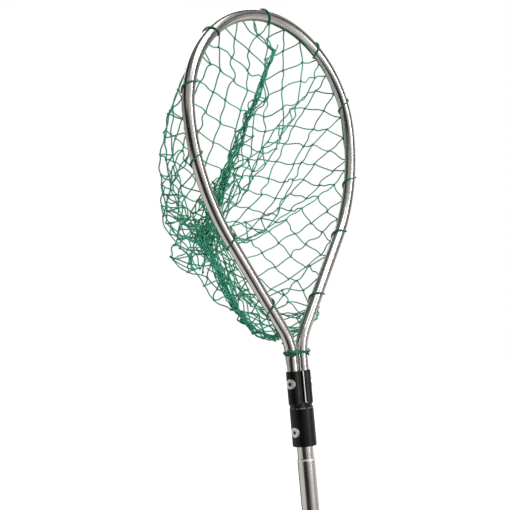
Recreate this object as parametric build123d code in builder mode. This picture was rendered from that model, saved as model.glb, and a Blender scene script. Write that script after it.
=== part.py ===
import os
from math import asin, cos, degrees, radians, sin, sqrt

from build123d import *

os.makedirs("parts", exist_ok=True)

# A telescopic landing net, in millimetres and degrees. The handle runs along Z, with the origin at
# the middle of the grip. The hoop lies in the XZ plane above the handle, and its mouth faces -Y.

# Hoop
hoop_tube_diameter = 14.0
hoop_tube_wall = 1.2
leg_spacing = 16.3
leg_length = 15.0
flare_radius = 62.0
flare_angle = 34.0
side_length = 130.0
side_radius = 252.0

# Yoke
yoke_length = 88.0
yoke_gap = 15.0
lobe_diameter = 17.6
lobe_length = 43.0
lobe_end_taper = 5.0
lobe_end_inset = 2.5
web_width = 2.4
web_height = 16.0
collar_diameter = 28.4
collar_shoulder = 6.0
leg_depth = 38.0
handle_depth = 41.0
yoke_edge = 0.7

# Rivets
rivet_diameter = 4.8
rivet_flange_diameter = 11.5
rivet_flange_thickness = 1.0
rivet_head_diameter = 6.4
rivet_head_length = 2.6
mandrel_diameter = 2.7
mandrel_head_diameter = 4.2
mandrel_head_length = 1.6
mandrel_recess = 1.2
leg_rivet_drop = 14.5
leg_rivet_turn = 14.0
handle_rivet_rise = 17.0

# Handle
upper_tube_diameter = 19.0
upper_tube_wall = 1.0
upper_tube_length = 480.0
lower_tube_wall = 0.8
lower_tube_top = 400.0
lower_tube_bottom = -72.0
tube_mouth_edge = 0.25
grip_diameter = 30.0
grip_length = 130.0
grip_edge = 3.0
grip_ring_depth = 0.8
grip_ring_width = 2.0
grip_ring_inset = 8.0
cap_diameter = 29.0
cap_floor = 7.0
cap_edge = 4.0

# Twist lock at the lower end of the upper tube
lock_stem_length = 22.0
lock_flange_thickness = 2.0
lock_journal_diameter = 11.0
lock_journal_length = 14.0
lock_eccentricity = 0.4
lock_ring_slit = 3.0
lock_washer_diameter = 17.0
lock_washer_thickness = 1.2
lock_screw_diameter = 4.0
lock_screw_length = 26.0
lock_screw_head_diameter = 7.6
lock_screw_head_height = 2.6
lock_screw_slot = 1.2

# Net
head_line_diameter = 2.2
wrap_count = 13
wrap_gap_angle = 60.0
lashing_turns = 4
lashing_rise = 22.0
bag_wall = 3.0
bag_lip = 6.0
seam_diameter = 3.0
knot_diameter = 7.0
# Each row is a level of the bag: height above the yoke, half width and depth behind the hoop.
bag_levels = [
    (40.0, 48.0, 58.0),
    (75.0, 78.0, 112.0),
    (165.0, 124.0, 140.0),
    (270.0, 140.0, 100.0),
    (345.0, 126.0, 62.0),
    (390.0, 98.0, 36.0),
    (424.0, 48.0, 14.0),
]

# Fits, all radial
fixed_gap = 0.05
slide_gap = 0.1
clear_gap = 0.3

# Worked out from the driving dimensions
hoop_tube_radius = hoop_tube_diameter / 2
lobe_radius = lobe_diameter / 2
collar_radius = collar_diameter / 2
upper_tube_radius = upper_tube_diameter / 2
upper_tube_bore = upper_tube_radius - upper_tube_wall
lower_tube_bore = upper_tube_radius + slide_gap
lower_tube_radius = lower_tube_bore + lower_tube_wall
flare_width = flare_radius * (1 - cos(radians(flare_angle)))
side_width = side_length * sin(radians(flare_angle))
shoulder_width = side_radius * (1 - cos(radians(flare_angle)))
top_radius = leg_spacing / 2 + flare_width + side_width + shoulder_width
yoke_bottom = lower_tube_top + yoke_gap
yoke_top = yoke_bottom + yoke_length
ledge = yoke_top - lobe_length
upper_tube_top = yoke_bottom + handle_depth
upper_tube_bottom = upper_tube_top - upper_tube_length
cord_radius = head_line_diameter / 2
cord_offset = hoop_tube_radius + cord_radius + fixed_gap
bag_front = cord_offset + cord_radius + clear_gap
leg_rivet_height = yoke_top - leg_rivet_drop
handle_rivet_height = yoke_bottom + handle_rivet_rise


def save(piece, name):
    piece.part.label = name
    export_step(piece.part, f"parts/{name}.step")


def hoop_outline(start_height):
    """Draw the hoop's centre line in the current sketch line, up one leg and down the other."""
    up_leg = Line((leg_spacing / 2, start_height), (leg_spacing / 2, yoke_top + leg_length))
    flare_out = JernArc(up_leg @ 1, up_leg % 1, flare_radius, -flare_angle)
    side_up = PolarLine(flare_out @ 1, side_length, direction=flare_out % 1)
    shoulder_in = JernArc(side_up @ 1, side_up % 1, side_radius, flare_angle)
    top = JernArc(shoulder_in @ 1, shoulder_in % 1, top_radius, 180)
    shoulder_out = JernArc(top @ 1, top % 1, side_radius, flare_angle)
    side_down = PolarLine(shoulder_out @ 1, side_length, direction=shoulder_out % 1)
    flare_in = JernArc(side_down @ 1, side_down % 1, flare_radius, -flare_angle)
    Line(flare_in @ 1, (-leg_spacing / 2, start_height))


def leg_rivet_planes():
    """Planes on the two legs' axes, with X along each rivet, out towards its flange."""
    turn = radians(leg_rivet_turn)
    return [
        Plane(
            origin=(side * leg_spacing / 2, 0, leg_rivet_height),
            x_dir=(side * cos(turn), -sin(turn), 0),
            z_dir=(0, 0, 1),
        )
        for side in (-1, 1)
    ]


def handle_rivet_planes():
    """Planes on the handle's axis, with X along each rivet, out towards its flange."""
    return [
        Plane(origin=(0, 0, handle_rivet_height), x_dir=(side, 0, 0), z_dir=(0, 0, 1))
        for side in (-1, 1)
    ]


def cut_rivet_holes(planes, reach):
    """Cut a rivet's hole from each plane's origin, out along its X."""
    for plane in planes:
        with Locations(Plane(origin=plane.origin, x_dir=plane.y_dir, z_dir=plane.x_dir)):
            Cylinder(
                rivet_diameter / 2 + fixed_gap,
                reach,
                align=(Align.CENTER, Align.CENTER, Align.MIN),
                mode=Mode.SUBTRACT,
            )


def make_rivet(seat_radius, wall_radius):
    """A set blind rivet along X: its flange lies on a round of seat_radius about Z."""
    head_start = sqrt(wall_radius**2 - (rivet_head_diameter / 2) ** 2) - fixed_gap
    flange_radius = seat_radius + fixed_gap + rivet_flange_thickness
    with BuildPart() as rivet:
        with BuildSketch(Plane.YZ):
            Circle(rivet_flange_diameter / 2)
        extrude(amount=flange_radius + 1)
        with BuildSketch(Plane.XY.offset(-rivet_flange_diameter)):
            Circle(flange_radius)
        extrude(amount=2 * rivet_flange_diameter, mode=Mode.INTERSECT)
        with BuildSketch(Plane.XY.offset(-rivet_flange_diameter)):
            Circle(seat_radius + fixed_gap)
        extrude(amount=2 * rivet_flange_diameter, mode=Mode.SUBTRACT)
        with BuildSketch(Plane.YZ.offset(head_start - rivet_head_length)):
            Circle(rivet_head_diameter / 2)
        extrude(amount=rivet_head_length)
        with BuildSketch(Plane.YZ.offset(head_start - rivet_head_length)):
            Circle(rivet_diameter / 2)
        extrude(amount=flange_radius - rivet_flange_thickness / 2 - head_start + rivet_head_length)
        with BuildSketch(Plane.YZ.offset(head_start - rivet_head_length)):
            Circle(mandrel_diameter / 2 + fixed_gap)
        extrude(amount=flange_radius + rivet_head_length, mode=Mode.SUBTRACT)
    return rivet.part


def make_mandrel(seat_radius, wall_radius):
    """The steel stem left inside a set rivet, snapped off below the flange's face."""
    head_end = sqrt(wall_radius**2 - (rivet_head_diameter / 2) ** 2) - rivet_head_length - 2 * fixed_gap
    stem_end = seat_radius + rivet_flange_thickness - mandrel_recess
    with BuildPart() as mandrel:
        with BuildSketch(Plane.YZ.offset(head_end - mandrel_head_length)):
            Circle(mandrel_head_diameter / 2)
        extrude(amount=mandrel_head_length)
        with BuildSketch(Plane.YZ.offset(head_end)):
            Circle(mandrel_diameter / 2)
        extrude(amount=stem_end - head_end)
    return mandrel.part


def save_copies(part, planes, name):
    """Write one piece at each plane as a single node."""
    with BuildPart() as group:
        for plane in planes:
            add(plane.location * part)
    save(group, name)


def make_cord_turn(gap_angle):
    """One turn of cord round the hoop's tube, about Z, open by gap_angle towards X."""
    with BuildPart() as turn:
        with BuildSketch(Plane.XZ.rotated((0, 0, gap_angle / 2))):
            with Locations((cord_offset, 0)):
                Circle(cord_radius)
        revolve(axis=Axis.Z, revolution_arc=360 - gap_angle)
    return turn.part


# Hoop: one bent tube, its ends seated in the yoke
with BuildPart() as hoop:
    with BuildLine(Plane.XZ) as hoop_path:
        hoop_outline(yoke_top - leg_depth)
    with BuildSketch(Plane(origin=hoop_path.line @ 0, z_dir=hoop_path.line % 0)):
        Circle(hoop_tube_radius)
        Circle(hoop_tube_radius - hoop_tube_wall, mode=Mode.SUBTRACT)
    sweep(path=hoop_path.line)
    cut_rivet_holes(leg_rivet_planes(), hoop_tube_diameter)
save(hoop, "hoop_tube")

# Yoke: two round sockets for the legs over one round socket for the handle
with BuildPart() as yoke:
    with BuildSketch(Plane.XY.offset(ledge + lobe_end_taper)) as lobes:
        with GridLocations(leg_spacing, 0, 2, 1):
            Circle(lobe_radius)
        Rectangle(web_width, web_height)
    extrude(amount=lobe_length - lobe_end_taper)
    with GridLocations(leg_spacing, 0, 2, 1):
        with Locations((0, 0, ledge)):
            Cone(
                lobe_radius - lobe_end_inset,
                lobe_radius,
                lobe_end_taper,
                align=(Align.CENTER, Align.CENTER, Align.MIN),
            )
    with BuildSketch(Plane.XY.offset(yoke_bottom)):
        Circle(collar_radius)
    extrude(amount=ledge - yoke_bottom)
    with Locations((0, 0, ledge)):
        Cone(
            collar_radius,
            lobe_radius,
            collar_shoulder,
            align=(Align.CENTER, Align.CENTER, Align.MIN),
        )
    chamfer(yoke.faces().sort_by(Axis.Z)[-1].edges(), yoke_edge)
    fillet(yoke.faces().sort_by(Axis.Z)[0].edges(), yoke_edge)
    with BuildSketch(Plane.XY.offset(yoke_top - leg_depth - fixed_gap)):
        with GridLocations(leg_spacing, 0, 2, 1):
            Circle(hoop_tube_radius + fixed_gap)
    extrude(amount=leg_depth + 1, mode=Mode.SUBTRACT)
    with BuildSketch(Plane.XY.offset(yoke_bottom - 1)):
        Circle(upper_tube_radius + fixed_gap)
    extrude(amount=handle_depth + 1 + fixed_gap, mode=Mode.SUBTRACT)
    cut_rivet_holes(leg_rivet_planes(), lobe_diameter)
    cut_rivet_holes(handle_rivet_planes(), collar_diameter)
save(yoke, "yoke")

# Blind rivets: one through each lobe into its leg, and two through the collar into the handle
leg_bore = hoop_tube_radius - hoop_tube_wall
save_copies(make_rivet(lobe_radius, leg_bore), leg_rivet_planes(), "leg_rivets")
save_copies(make_mandrel(lobe_radius, leg_bore), leg_rivet_planes(), "leg_rivet_mandrels")
save_copies(make_rivet(collar_radius, upper_tube_bore), handle_rivet_planes(), "handle_rivets")
save_copies(
    make_mandrel(collar_radius, upper_tube_bore), handle_rivet_planes(), "handle_rivet_mandrels"
)

# Upper handle tube, riveted in the yoke, and the lower tube that it slides in
with BuildPart() as upper_tube:
    with BuildSketch(Plane.XY.offset(upper_tube_bottom)):
        Circle(upper_tube_radius)
        Circle(upper_tube_bore, mode=Mode.SUBTRACT)
    extrude(amount=upper_tube_length)
    cut_rivet_holes(handle_rivet_planes(), upper_tube_diameter)
save(upper_tube, "upper_handle_tube")

with BuildPart() as lower_tube:
    with BuildSketch(Plane.XY.offset(lower_tube_bottom)):
        Circle(lower_tube_radius)
        Circle(lower_tube_bore, mode=Mode.SUBTRACT)
    extrude(amount=lower_tube_top - lower_tube_bottom)
    fillet(lower_tube.faces().sort_by(Axis.Z)[-1].edges(), tube_mouth_edge)
save(lower_tube, "lower_handle_tube")

# Grip: a foam sleeve with a ring groove near each end
with BuildPart() as grip:
    with BuildSketch(Plane.XY.offset(-grip_length / 2)):
        Circle(grip_diameter / 2)
    extrude(amount=grip_length)
    fillet(grip.edges(), grip_edge)
    for groove_middle in (grip_ring_inset - grip_length / 2, grip_length / 2 - grip_ring_inset):
        with BuildSketch(Plane.XY.offset(groove_middle - grip_ring_width / 2)):
            Circle(grip_diameter / 2 + 1)
            Circle(grip_diameter / 2 - grip_ring_depth, mode=Mode.SUBTRACT)
        extrude(amount=grip_ring_width, mode=Mode.SUBTRACT)
    with BuildSketch(Plane.XY.offset(-grip_length / 2 - 1)):
        Circle(lower_tube_radius + fixed_gap)
    extrude(amount=grip_length + 2, mode=Mode.SUBTRACT)
save(grip, "grip")

# End cap: a rubber cup on the lower tube's end, below the grip
cap_top = -grip_length / 2 - clear_gap
cap_bottom = lower_tube_bottom - fixed_gap - cap_floor
with BuildPart() as end_cap:
    with BuildSketch(Plane.XY.offset(cap_bottom)):
        Circle(cap_diameter / 2)
    extrude(amount=cap_top - cap_bottom)
    fillet(end_cap.faces().sort_by(Axis.Z)[0].edges(), cap_edge)
    with BuildSketch(Plane.XY.offset(cap_bottom + cap_floor)):
        Circle(lower_tube_radius + fixed_gap)
    extrude(amount=cap_top - cap_bottom, mode=Mode.SUBTRACT)
save(end_cap, "end_cap")

# Twist lock: a plug with an off-centre journal, and a split ring that it jams in the lower tube
journal_top = upper_tube_bottom - lock_flange_thickness
journal_bottom = journal_top - lock_journal_length
with BuildPart() as lock_plug:
    with BuildSketch(Plane.XY.offset(upper_tube_bottom + fixed_gap)):
        Circle(upper_tube_bore - fixed_gap)
    extrude(amount=lock_stem_length)
    with BuildSketch(Plane.XY.offset(journal_top)):
        Circle(upper_tube_radius - slide_gap)
    extrude(amount=lock_flange_thickness - fixed_gap)
    with BuildSketch(Plane.XY.offset(upper_tube_bottom - fixed_gap)):
        Circle(upper_tube_bore - fixed_gap)
    extrude(amount=2 * fixed_gap)
    with BuildSketch(Plane.XY.offset(journal_bottom)):
        with Locations((lock_eccentricity, 0)):
            Circle(lock_journal_diameter / 2)
    extrude(amount=lock_journal_length)
    with BuildSketch(Plane.XY.offset(journal_bottom)):
        Circle(lock_screw_diameter / 2 + fixed_gap)
    extrude(amount=lock_screw_length + 1, mode=Mode.SUBTRACT)
save(lock_plug, "lock_plug")

ring_bore = lock_journal_diameter / 2 + lock_eccentricity + slide_gap
with BuildPart() as lock_ring:
    with BuildSketch(Plane.XY.offset(journal_bottom + clear_gap)):
        Circle(lower_tube_bore - slide_gap)
        Circle(ring_bore, mode=Mode.SUBTRACT)
        with Locations((-lower_tube_bore, 0)):
            Rectangle(2 * lower_tube_bore, lock_ring_slit, mode=Mode.SUBTRACT)
    extrude(amount=lock_journal_length - 2 * clear_gap)
save(lock_ring, "lock_ring")

with BuildPart() as lock_washer:
    with BuildSketch(Plane.XY.offset(journal_bottom - fixed_gap - lock_washer_thickness)):
        Circle(lock_washer_diameter / 2)
        Circle(lock_screw_diameter / 2 + fixed_gap, mode=Mode.SUBTRACT)
    extrude(amount=lock_washer_thickness)
save(lock_washer, "lock_washer")

screw_seat = journal_bottom - 2 * fixed_gap - lock_washer_thickness
with BuildPart() as lock_screw:
    with BuildSketch(Plane.XY.offset(screw_seat - lock_screw_head_height)):
        Circle(lock_screw_head_diameter / 2)
    extrude(amount=lock_screw_head_height)
    with BuildSketch(Plane.XY.offset(screw_seat)):
        Circle(lock_screw_diameter / 2)
    extrude(amount=lock_screw_length)
    with BuildSketch(Plane.XY.offset(screw_seat - lock_screw_head_height)):
        Rectangle(lock_screw_head_diameter, lock_screw_slot)
        Rectangle(lock_screw_slot, lock_screw_head_diameter)
    extrude(amount=lock_screw_head_height / 2, mode=Mode.SUBTRACT)
save(lock_screw, "lock_screw")

# Head line: the cord behind the hoop's tube that carries the bag, with its turns round the tube
with BuildPart() as head_line:
    with BuildLine(Plane.XZ.offset(-cord_offset)) as head_line_path:
        hoop_outline(yoke_top + leg_length / 2)
    with BuildSketch(Plane(origin=head_line_path.line @ 0, z_dir=head_line_path.line % 0)):
        Circle(cord_radius)
    sweep(path=head_line_path.line)
save(head_line, "head_line")

with BuildLine(Plane.XZ) as laced_path:
    hoop_outline(yoke_top + leg_length / 2)
laced_line = laced_path.wire()


def laced_plane(place):
    """A plane across the laced part of the hoop, with X towards the head line behind it."""
    return Plane(origin=laced_line @ place, x_dir=(0, 1, 0), z_dir=laced_line % place)


turn_planes = [laced_plane((index + 1) / (wrap_count + 1)) for index in range(wrap_count)]
save_copies(make_cord_turn(wrap_gap_angle), turn_planes, "head_line_turns")

# Lashings: a few turns side by side round each leg, where the head line ends
lashing_gap_angle = 2 * degrees(asin((head_line_diameter + 2 * clear_gap) / cord_offset))
lashing_places = [
    (lashing_rise + index * (head_line_diameter + fixed_gap)) / laced_line.length
    for index in range(lashing_turns)
]
lashing_planes = [laced_plane(end) for place in lashing_places for end in (place, 1 - place)]
save_copies(make_cord_turn(lashing_gap_angle), lashing_planes, "leg_lashings")


def bag_sections(inset):
    """The bag's levels as half ovals, drawn in by inset on every side."""
    last_level = len(bag_levels) - 1
    sections = []
    for index, (height, half_width, depth) in enumerate(bag_levels):
        end_inset = inset if index == 0 else -inset if index == last_level else 0
        with BuildSketch(Plane.XY.offset(yoke_top + height + end_inset)) as section:
            with BuildLine():
                back = EllipticalCenterArc(
                    (0, bag_front + inset), half_width - inset, depth - 2 * inset, arc_size=180
                )
                Line(back @ 1, back @ 0)
            make_face()
        sections.append(section.sketch.face())
    return sections


# Net bag: a sack behind the hoop, open where the mouth is, in two panels with a seam between them
with BuildPart() as bag:
    loft(bag_sections(0), ruled=True)
    loft(bag_sections(bag_wall), ruled=True, mode=Mode.SUBTRACT)
    with BuildSketch(Plane.XZ.offset(1 - bag_front)):
        with BuildLine():
            hoop_outline(yoke_top)
            Line((-leg_spacing / 2, yoke_top), (leg_spacing / 2, yoke_top))
        make_face()
        offset(amount=-bag_lip)
    extrude(amount=-2 * bag_wall, mode=Mode.SUBTRACT)

seam_slot = seam_diameter + 2 * clear_gap
for side, kept_side, name in (
    (-1, Keep.BOTTOM, "bag_left_panel"),
    (1, Keep.TOP, "bag_right_panel"),
):
    with BuildPart() as panel:
        add(bag.part)
        split(bisect_by=Plane.YZ.offset(side * seam_slot / 2), keep=kept_side)
    save(panel, name)

# Seam: the cord that closes the bag down its back, as far as a knot just below the top level
seam_levels = bag_levels[:-1]
seam_points = [
    (bag_front + depth - bag_wall, yoke_top + height) for height, half_width, depth in seam_levels
]
with BuildPart() as seam:
    with BuildLine(Plane.YZ) as seam_path:
        FilletPolyline(*seam_points, radius=20)
    with BuildSketch(Plane(origin=seam_path.line @ 0, z_dir=seam_path.line % 0)):
        Circle(seam_diameter / 2)
    sweep(path=seam_path.line)
save(seam, "seam_cord")

knot_height, knot_level_width, knot_level_depth = seam_levels[-1]
knot_depth = bag_front + knot_level_depth - bag_wall - knot_diameter
with BuildPart() as knot:
    with Locations((0, knot_depth, yoke_top + knot_height)):
        Sphere(knot_diameter / 2)
save(knot, "seam_knot")
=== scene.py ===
from math import cos, pi, radians, sin

import bpy
import numpy as np
from mathutils import Matrix, Vector


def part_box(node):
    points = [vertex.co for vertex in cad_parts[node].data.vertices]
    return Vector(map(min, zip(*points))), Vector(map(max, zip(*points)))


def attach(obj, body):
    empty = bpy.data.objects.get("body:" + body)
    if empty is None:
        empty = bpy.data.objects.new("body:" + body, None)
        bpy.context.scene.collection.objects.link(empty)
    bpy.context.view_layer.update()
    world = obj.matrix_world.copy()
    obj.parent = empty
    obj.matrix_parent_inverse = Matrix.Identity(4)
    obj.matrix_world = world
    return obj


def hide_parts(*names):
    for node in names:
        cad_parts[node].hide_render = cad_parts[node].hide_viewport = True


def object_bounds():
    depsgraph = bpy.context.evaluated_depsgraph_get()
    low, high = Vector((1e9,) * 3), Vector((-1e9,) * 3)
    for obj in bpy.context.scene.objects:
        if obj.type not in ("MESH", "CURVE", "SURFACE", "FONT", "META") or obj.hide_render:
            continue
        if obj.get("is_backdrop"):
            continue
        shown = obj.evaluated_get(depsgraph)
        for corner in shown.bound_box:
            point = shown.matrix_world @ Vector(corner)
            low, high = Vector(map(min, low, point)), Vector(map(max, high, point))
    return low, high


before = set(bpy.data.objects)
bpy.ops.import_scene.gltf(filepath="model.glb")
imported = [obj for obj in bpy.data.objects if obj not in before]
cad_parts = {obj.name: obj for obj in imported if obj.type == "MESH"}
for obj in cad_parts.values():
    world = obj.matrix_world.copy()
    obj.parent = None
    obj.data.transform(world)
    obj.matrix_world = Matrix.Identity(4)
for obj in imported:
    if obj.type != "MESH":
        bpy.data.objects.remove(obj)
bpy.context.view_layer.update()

# A telescopic landing net, in metres. The handle runs along Z with the origin in the grip, and the
# hoop lies in the XZ plane above it, with its mouth facing -Y.


# Shader maths: a Value wraps one socket, and sums on Values add their Math nodes.
class Value:
    def __init__(self, tree, socket):
        self.tree, self.socket = tree, socket

    def math(self, operation, *operands):
        node = self.tree.nodes.new("ShaderNodeMath")
        node.operation = operation
        for place, operand in zip(node.inputs, operands):
            setSocket(self.tree, place, operand)
        return Value(self.tree, node.outputs[0])

    def __add__(self, other):
        return self.math("ADD", self, other)

    def __sub__(self, other):
        return self.math("SUBTRACT", self, other)

    def __mul__(self, other):
        return self.math("MULTIPLY", self, other)

    def __truediv__(self, other):
        return self.math("DIVIDE", self, other)

    def __pow__(self, other):
        return self.math("POWER", self, other)

    def __rsub__(self, other):
        return self.math("SUBTRACT", other, self)

    def __rtruediv__(self, other):
        return self.math("DIVIDE", other, self)

    __radd__ = __add__
    __rmul__ = __mul__

    def wave(self):
        return self.math("SINE", self)

    def size(self):
        return self.math("ABSOLUTE", self)

    def clip(self, low=0.0, high=1.0):
        return self.math("MINIMUM", self.math("MAXIMUM", self, low), high)

    def step(self, start, slope):
        # 0 as far as start, then rising to 1: (self - start) * slope
        return ((self - start) * slope).clip()

    def band(self, middle, width, slope):
        # 1 round the middle and 0 from width away: (1 - |self - middle| / width) * slope
        return ((1 - (self - middle).size() / width) * slope).clip()


def setSocket(tree, socket, value):
    # a Value is linked, and anything else is the socket's own number or colour
    if isinstance(value, Value):
        tree.links.new(value.socket, socket)
    elif value is not None:
        socket.default_value = value


class Nodes:
    # a node tree: add() makes any node from its type, its settings and the values of its sockets
    def __init__(self, tree):
        self.tree = tree

    def add(self, kind, settings=None, sockets=None, output=0):
        node = self.tree.nodes.new(kind)
        for name, value in (settings or {}).items():
            setattr(node, name, value)
        for name, value in (sockets or {}).items():
            setSocket(self.tree, node.inputs[name], value)
        return Value(self.tree, node.outputs[output])

    def place(self, scale=(1, 1, 1), uv=False):
        # Object coordinates, or the piece's own UV map, stretched
        source = self.add("ShaderNodeTexCoord", output="UV" if uv else "Object")
        return self.add("ShaderNodeMapping", None, {"Vector": source, "Scale": scale})

    def noise(self, where, scale, detail=3.0, rough=0.55):
        return self.add("ShaderNodeTexNoise", None,
            {"Vector": where, "Scale": scale, "Detail": detail, "Roughness": rough})

    def axes(self, where):
        return [self.add("ShaderNodeSeparateXYZ", None, {"Vector": where}, axis) for axis in range(3)]

    def mix(self, share, first, second):
        # a colour between two colours, by share
        colours = [value if isinstance(value, Value) else (*value, 1) for value in (first, second)]
        return self.add("ShaderNodeMix", {"data_type": "RGBA"}, {0: share, 6: colours[0], 7: colours[1]}, 2)


class Finish(Nodes):
    # one material round a Principled shader
    def __init__(self, name, **sockets):
        self.material = bpy.data.materials.new(name)
        self.material.use_nodes = True
        super().__init__(self.material.node_tree)
        self.tree.nodes.clear()
        output = self.tree.nodes.new("ShaderNodeOutputMaterial")
        self.shader = self.tree.nodes.new("ShaderNodeBsdfPrincipled")
        self.tree.links.new(self.shader.outputs[0], output.inputs["Surface"])
        self.set(**sockets)

    def set(self, **sockets):
        for name, value in sockets.items():
            setSocket(self.tree, self.shader.inputs[name.replace("_", " ")], value)

    def bump(self, height, depth, strength=1.0):
        # depth is the real height of a full step, in metres
        self.set(Normal=self.add("ShaderNodeBump", None,
            {"Height": height, "Distance": depth, "Strength": strength}))


aluminiumValues = {
    "light": (0.76, 0.755, 0.74), "dark": (0.42, 0.415, 0.40), "scratched": (0.42, 0.41, 0.40), "rough": 0.12,
    # fine lines, close together round the tube and long along it: by place, or on a bent tube by its UV map
    "lines": (1400.0, 1400.0, 5.0), "linesOnMap": (60.0, 2.2, 1.0), "smudges": 38.0, "scratches": 420.0,
    "mouthBand": 0.0022, "mouthColour": (0.98, 0.98, 0.97),
}


def aluminiumFinish(name, uv=False, mouth=None):
    # drawn tube: fine lines along the tube, faint smudges, and a scratch here and there
    v = aluminiumValues
    finish = Finish(name, Metallic=1.0)
    fine = finish.place(v["linesOnMap"], uv=True) if uv else finish.place(v["lines"])
    lines = finish.noise(fine, 1.0, 2.0)
    smudge = finish.noise(finish.place(), v["smudges"], 4.0)
    scratch = finish.noise(finish.place((1, 1, 0.35)), v["scratches"], 2.0).step(0.66, 9.0)
    tone = (lines * 0.55 + smudge * 0.6 - 0.1).clip()
    base = finish.mix(scratch * 0.35, finish.mix(tone, v["dark"], v["light"]), v["scratched"])
    rough = v["rough"] + lines * 0.09 + smudge * 0.10 + scratch * 0.2
    if mouth:
        # the tube's mouth, at this height, is rounded and rubbed bright
        rim = finish.axes(finish.place())[2].step(mouth - v["mouthBand"], 4000)
        base, rough = finish.mix(rim * 0.9, base, v["mouthColour"]), rough + rim * 0.35
    finish.set(Base_Color=base, Roughness=rough)
    finish.bump(lines * 0.5 + scratch, 0.00003, 0.5)
    return finish.material


yokeValues = {
    # bright is the colour of the painted highlights on the yoke
    "black": (0.002, 0.0035, 0.003), "worn": (0.022, 0.030, 0.027), "bright": (0.90, 0.93, 0.91),
    "rough": 0.22,
    # the painted highlight line: its place across the yoke, its half width, how far in front of the middle
    # it shows, and how far above the lobes' lower edge it starts
    "line": 0.0010, "highlightLineWidth": 0.0014, "highlightLineFront": -0.002, "highlightLineStart": 0.005,
    # the height of the lobes, and the painted highlight marks along their lower edge: their place and half
    # width
    "lobes": 0.043, "edge": -0.0006, "edgeHighlightWidth": 0.0007,
}


def yokeFinish():
    # black moulded nylon: a pebbled sheen, fine grain, rubbed patches and painted highlights
    v = yokeValues
    finish = Finish("yokeNylon", Specular_IOR_Level=0.28)
    mottle = finish.noise(finish.place((1, 1, 0.6)), 210.0, 5.0, 0.62)
    grain = finish.noise(finish.place(), 2600.0, 2.0)
    pebble = finish.noise(finish.place(), 700.0, 1.0)
    rub = finish.noise(finish.place((1, 1, 0.3)), 90.0, 6.0, 0.7).step(0.52, 4.0)
    # painted highlights: a line beside the groove between the lobes, and marks along the lobes' lower edges
    x, y, z = finish.axes(finish.place())
    above = z - (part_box("yoke")[1].z - v["lobes"])
    # line: the painted highlight beside the groove between the lobes
    line = x.band(v["line"], v["highlightLineWidth"], 3) * y.step(v["highlightLineFront"], -3000)
    line = line * above.step(v["highlightLineStart"], 2000)
    # edge: painted highlight marks along the lobes' lower edges
    edge = above.band(v["edge"], v["edgeHighlightWidth"], 2) * mottle.step(0.46, 9) * 0.4
    base = finish.mix(rub * 0.5 + mottle * 0.1, v["black"], v["worn"])
    # the painted highlights mix the base colour towards bright
    finish.set(Base_Color=finish.mix((line * (mottle + 0.5) + edge).clip(), base, v["bright"]))
    finish.set(Roughness=v["rough"] + mottle * 0.14 + grain * 0.06 - rub * 0.05)
    finish.bump(mottle * 0.5 + pebble * 0.6 + grain * 0.15, 0.00022, 0.8)
    return finish.material


rivetValues = {"dull": (0.80, 0.80, 0.79), "bright": (0.95, 0.95, 0.94), "rough": 0.30,
    # the last two: the reach and the colour of the painted shade round the stem
    "dishShade": 0.0023, "dishShadeColour": (0.02, 0.02, 0.02)}


def rivetFinish():
    # bright pressed aluminium, with painted shade in the dished hollow round the snapped stem
    v = rivetValues
    finish = Finish("rivetAluminium", Metallic=0.6)
    dents = finish.noise(finish.place(), 900.0, 3.0)
    y, z = finish.axes(finish.place())[1:]
    squares = []
    for node in ("leg_rivets", "handle_rivets"):
        # away from this pair's common axis: the square root of y squared + z squared
        low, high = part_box(node)
        aside, rise = y - (low.y + high.y) / 2, z - (low.z + high.z) / 2
        squares.append(aside * aside + rise * rise)
    away = dents.math("MINIMUM", *squares) ** 0.5
    # painted shade over the hollow round the stem, mixed into the colour below
    dishShade = ((v["dishShade"] - away) * 2500 + 0.5).clip()
    base = finish.mix(dents, v["dull"], v["bright"])
    finish.set(Base_Color=finish.mix(dishShade * 0.93, base, v["dishShadeColour"]))
    finish.set(Roughness=v["rough"] + dents * 0.18)
    finish.bump(dents, 0.00006, 0.5)
    return finish.material


stemValues = {"light": (0.20, 0.19, 0.18), "dark": (0.05, 0.05, 0.05), "rough": 0.42}
lockSteelValues = {"light": (0.78, 0.77, 0.74), "dark": (0.45, 0.44, 0.42), "rough": 0.26}


def steelFinish(name, v):
    # plated or snapped steel, greyer in its low spots
    finish = Finish(name, Metallic=1.0)
    pits = finish.noise(finish.place(), 1500.0, 4.0, 0.7)
    finish.set(Base_Color=finish.mix(pits, v["dark"], v["light"]), Roughness=v["rough"] + pits * 0.2)
    finish.bump(pits, 0.00008, 0.6)
    return finish.material


nylonValues = {"yellow": (0.70, 0.68, 0.62), "milky": (0.80, 0.79, 0.74), "rough": 0.42}


def nylonFinish():
    # the lock's natural nylon, milky and a little yellow
    v = nylonValues
    finish = Finish("lockNylon", Specular_IOR_Level=0.5, Subsurface_Weight=0.15, Subsurface_Scale=0.002)
    cloud = finish.noise(finish.place(), 160.0, 4.0)
    grain = finish.noise(finish.place(), 3000.0, 2.0)
    finish.set(Base_Color=finish.mix(cloud, v["yellow"], v["milky"]))
    finish.set(Roughness=v["rough"] + grain * 0.15)
    finish.bump(grain, 0.00005, 0.5)
    return finish.material


foamValues = {"cell": 780.0, "black": (0.010, 0.010, 0.011), "grey": (0.050, 0.050, 0.053), "rough": 0.78}


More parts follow.
